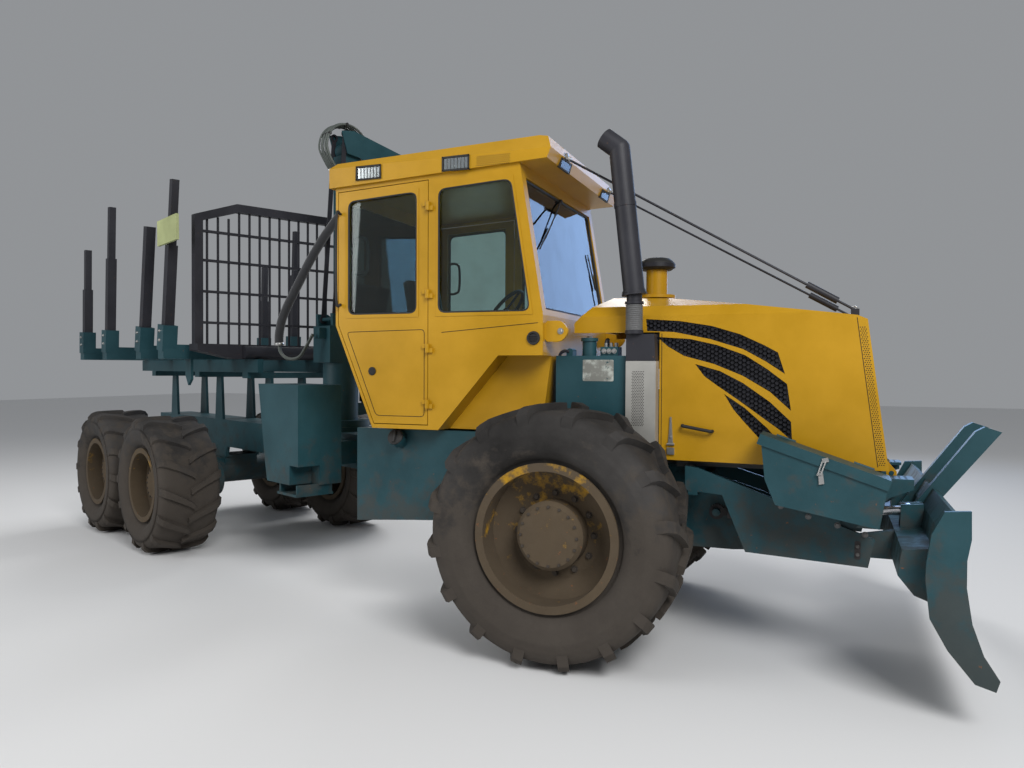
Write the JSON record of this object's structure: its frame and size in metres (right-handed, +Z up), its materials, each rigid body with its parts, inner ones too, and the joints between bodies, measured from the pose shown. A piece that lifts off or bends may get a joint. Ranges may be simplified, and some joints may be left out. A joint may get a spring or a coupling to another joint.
{
  "type": "articulated forestry forwarder",
  "caption": "Articulated six-wheel forestry forwarder with tilting hood, glazed cab, front blade, staked log bunk and folding loader crane with grapple.",
  "frame": {"origin": "on the ground, under the middle of the front axle", "axes": "+X towards the blade along the front unit, +Y to the machine's left, +Z up; the rear unit is turned by 25 degrees about the centre joint"},
  "size_m": [9.3859, 4.7732, 4.165],
  "materials": {
    "paint_yellow": "satin",
    "paint_green": "satin",
    "paint_black": "satin",
    "tread_rubber": "rough",
    "hose_rubber": "matt",
    "glazing": "gloss",
    "trim_black": "matt",
    "cast_grey": "rough",
    "rod_chrome": "polished",
    "seat_cloth": "matt"
  },
  "bodies": {
    "front": {"front_frame": "paint_green", "front_axle": "paint_green", "engine_block": "cast_grey", "exhaust": "paint_black", "hydraulic_tank": "paint_green", "side_tanks": "paint_green", "tool_boxes": "paint_green", "cab_shell": "paint_yellow", "cab_foot": "paint_yellow", "cab_roof": "paint_yellow", "cab_glass": "glazing", "seat": "seat_cloth", "console": "trim_black"},
    "hood": {"hood": "paint_yellow", "hood_mesh": "paint_black", "air_intake": "paint_yellow", "branch_cables": "paint_black"},
    "lid_right": {"box_lid_right": "paint_green"},
    "lid_left": {"box_lid_left": "paint_green"},
    "door_right": {"door_right": "paint_yellow", "door_right_glass": "glazing"},
    "door_left": {"door_left": "paint_yellow", "door_left_glass": "glazing"},
    "blade": {"blade": "paint_green"},
    "blade_barrels": {"blade_barrels": "paint_black"},
    "blade_rods": {"blade_rods": "rod_chrome"},
    "rear": {"rear_frame": "paint_green", "bunk_frame": "paint_green", "bogies": "paint_green", "headboard": "paint_black", "bunks": "paint_green", "stakes": "paint_black", "rear_tank": "paint_green"},
    "crane": {"crane_column": "paint_green"},
    "main_boom": {"main_boom": "paint_green", "knuckle_hoses": "hose_rubber", "crane_hose": "hose_rubber", "hose_tail": "hose_rubber"},
    "lift_barrel": {"lift_barrel": "paint_black"},
    "lift_rod": {"lift_rod": "rod_chrome"},
    "crane_link": {"crane_link": "paint_black"},
    "outer_boom": {"outer_boom": "paint_green"},
    "boom_extension": {"boom_extension": "paint_green"},
    "rotator": {"rotator": "cast_grey"},
    "claw_front": {"claw_front": "paint_black"},
    "claw_rear": {"claw_rear": "paint_black"},
    "wheel_front_right": {"tyre_front_right": "tread_rubber", "rim_front_right": "paint_yellow"},
    "wheel_front_left": {"tyre_front_left": "tread_rubber", "rim_front_left": "paint_yellow"},
    "wheel_mid_right": {"tyre_mid_right": "tread_rubber", "rim_mid_right": "paint_yellow"},
    "wheel_mid_left": {"tyre_mid_left": "tread_rubber", "rim_mid_left": "paint_yellow"},
    "wheel_back_right": {"tyre_back_right": "tread_rubber", "rim_back_right": "paint_yellow"},
    "wheel_back_left": {"tyre_back_left": "tread_rubber", "rim_back_left": "paint_yellow"}
  },
  "joints": [
    {"name": "steer", "type": "hinge", "parent": "front", "child": "rear", "pos_m": [-1.31, 0, 0.88], "axis": [0, 0, 1], "range_deg": [-15, 65]},
    {"name": "slew", "type": "hinge", "parent": "rear", "child": "crane", "pos_m": [-2.75103, 0.67196, 1.3], "axis": [0, 0, 1], "range_deg": [-180, 180]},
    {"name": "main_boom_lift", "type": "hinge", "parent": "crane", "child": "main_boom", "pos_m": [-2.72567, 0.72634, 2.15], "axis": [-0.9063, 0.4226, 0], "range_deg": [0, 75]},
    {"name": "blade_lift", "type": "hinge", "parent": "front", "child": "blade", "pos_m": [1.68, 0, 0.76], "axis": [0, -1, 0], "range_deg": [-15, 10]},
    {"name": "hood_tilt", "type": "hinge", "parent": "front", "child": "hood", "pos_m": [1.95, 0, 1.205], "axis": [0, 1, 0], "range_deg": [0, 45]},
    {"name": "door_right_hinge", "type": "hinge", "parent": "front", "child": "door_right", "pos_m": [-1.029, -0.858, 2.3], "axis": [0, 0, 1], "range_deg": [0, 110]},
    {"name": "door_left_hinge", "type": "hinge", "parent": "front", "child": "door_left", "pos_m": [-1.029, 0.858, 2.3], "axis": [0, 0, -1], "range_deg": [0, 110]},
    {"name": "lid_right_hinge", "type": "hinge", "parent": "front", "child": "lid_right", "pos_m": [1.21714, -0.6123, 1.45812], "axis": [-0.9473, 0, 0.3203], "range_deg": [0, 80]},
    {"name": "lid_left_hinge", "type": "hinge", "parent": "front", "child": "lid_left", "pos_m": [1.21714, 0.6123, 1.45812], "axis": [0.9473, 0, -0.3203], "range_deg": [0, 80]},
    {"name": "blade_barrel_swing", "type": "hinge", "parent": "front", "child": "blade_barrels", "pos_m": [0.9, 0, 0.9], "axis": [0, -1, 0], "range_deg": [-5.12, 3.41]},
    {"name": "blade_rod_slide", "type": "slide", "parent": "blade_barrels", "child": "blade_rods", "axis": [0.9973, 0, 0.074], "range_m": [-0.0323, 0.0485]},
    {"name": "lift_barrel_swing", "type": "hinge", "parent": "crane", "child": "lift_barrel", "pos_m": [-2.63692, 0.91667, 1.45], "axis": [-0.9063, 0.4226, 0], "range_deg": [0, 26.69]},
    {"name": "lift_rod_slide", "type": "slide", "parent": "lift_barrel", "child": "lift_rod", "axis": [-0.0055, -0.0118, 0.9999], "range_m": [-0.4302, 0]},
    {"name": "link_swing", "type": "hinge", "parent": "crane", "child": "crane_link", "pos_m": [-2.80597, 0.55414, 2.296], "axis": [-0.9063, 0.4226, 0], "range_deg": [0, 76]},
    {"name": "outer_boom_fold", "type": "hinge", "parent": "main_boom", "child": "outer_boom", "pos_m": [-2.72567, 0.72634, 3.9], "axis": [0.9063, -0.4226, 0], "range_deg": [0, 121]},
    {"name": "extension_slide", "type": "slide", "parent": "outer_boom", "child": "boom_extension", "axis": [0, 0, -1], "range_m": [0, 0.75]},
    {"name": "rotator_spin", "type": "hinge", "parent": "boom_extension", "child": "rotator", "pos_m": [-2.48055, 1.252, 2.4], "axis": [0, 0, 1], "continuous": true},
    {"name": "claw_front_swing", "type": "hinge", "parent": "rotator", "child": "claw_front", "pos_m": [-2.58478, 1.3006, 2.1397], "axis": [0.4226, 0.9063, 0], "range_deg": [0, 60]},
    {"name": "claw_rear_swing", "type": "hinge", "parent": "rotator", "child": "claw_rear", "pos_m": [-2.37633, 1.2034, 2.1397], "axis": [-0.4226, -0.9063, 0], "range_deg": [0, 60]},
    {"name": "wheel_front_right_spin", "type": "hinge", "parent": "front", "child": "wheel_front_right", "pos_m": [0, -1.025, 0.815], "axis": [0, 1, 0], "continuous": true},
    {"name": "wheel_mid_right_spin", "type": "hinge", "parent": "rear", "child": "wheel_mid_right", "pos_m": [-4.61346, 0.39291, 0.675], "axis": [0.4226, 0.9063, 0], "continuous": true},
    {"name": "wheel_back_right_spin", "type": "hinge", "parent": "rear", "child": "wheel_back_right", "pos_m": [-5.90041, 0.99303, 0.675], "axis": [0.4226, 0.9063, 0], "continuous": true},
    {"name": "wheel_front_left_spin", "type": "hinge", "parent": "front", "child": "wheel_front_left", "pos_m": [0, 1.025, 0.815], "axis": [0, 1, 0], "continuous": true},
    {"name": "wheel_mid_left_spin", "type": "hinge", "parent": "rear", "child": "wheel_mid_left", "pos_m": [-3.73441, 2.27803, 0.675], "axis": [0.4226, 0.9063, 0], "continuous": true},
    {"name": "wheel_back_left_spin", "type": "hinge", "parent": "rear", "child": "wheel_back_left", "pos_m": [-5.02137, 2.87815, 0.675], "axis": [0.4226, 0.9063, 0], "continuous": true}
  ],
  "couplings": [
    {"joint": "blade_barrel_swing", "follows": "blade_lift", "ratio": 0.33445},
    {"joint": "blade_rod_slide", "follows": "blade_lift", "m_per_rad": -0.18146},
    {"joint": "lift_barrel_swing", "follows": "main_boom_lift", "ratio": 0.34892},
    {"joint": "lift_rod_slide", "follows": "main_boom_lift", "m_per_rad": -0.32223},
    {"joint": "link_swing", "follows": "main_boom_lift", "ratio": 1},
    {"joint": "outer_boom_fold", "follows": "main_boom_lift", "ratio": 1.6},
    {"joint": "claw_rear_swing", "follows": "claw_front_swing", "ratio": 1}
  ]
}
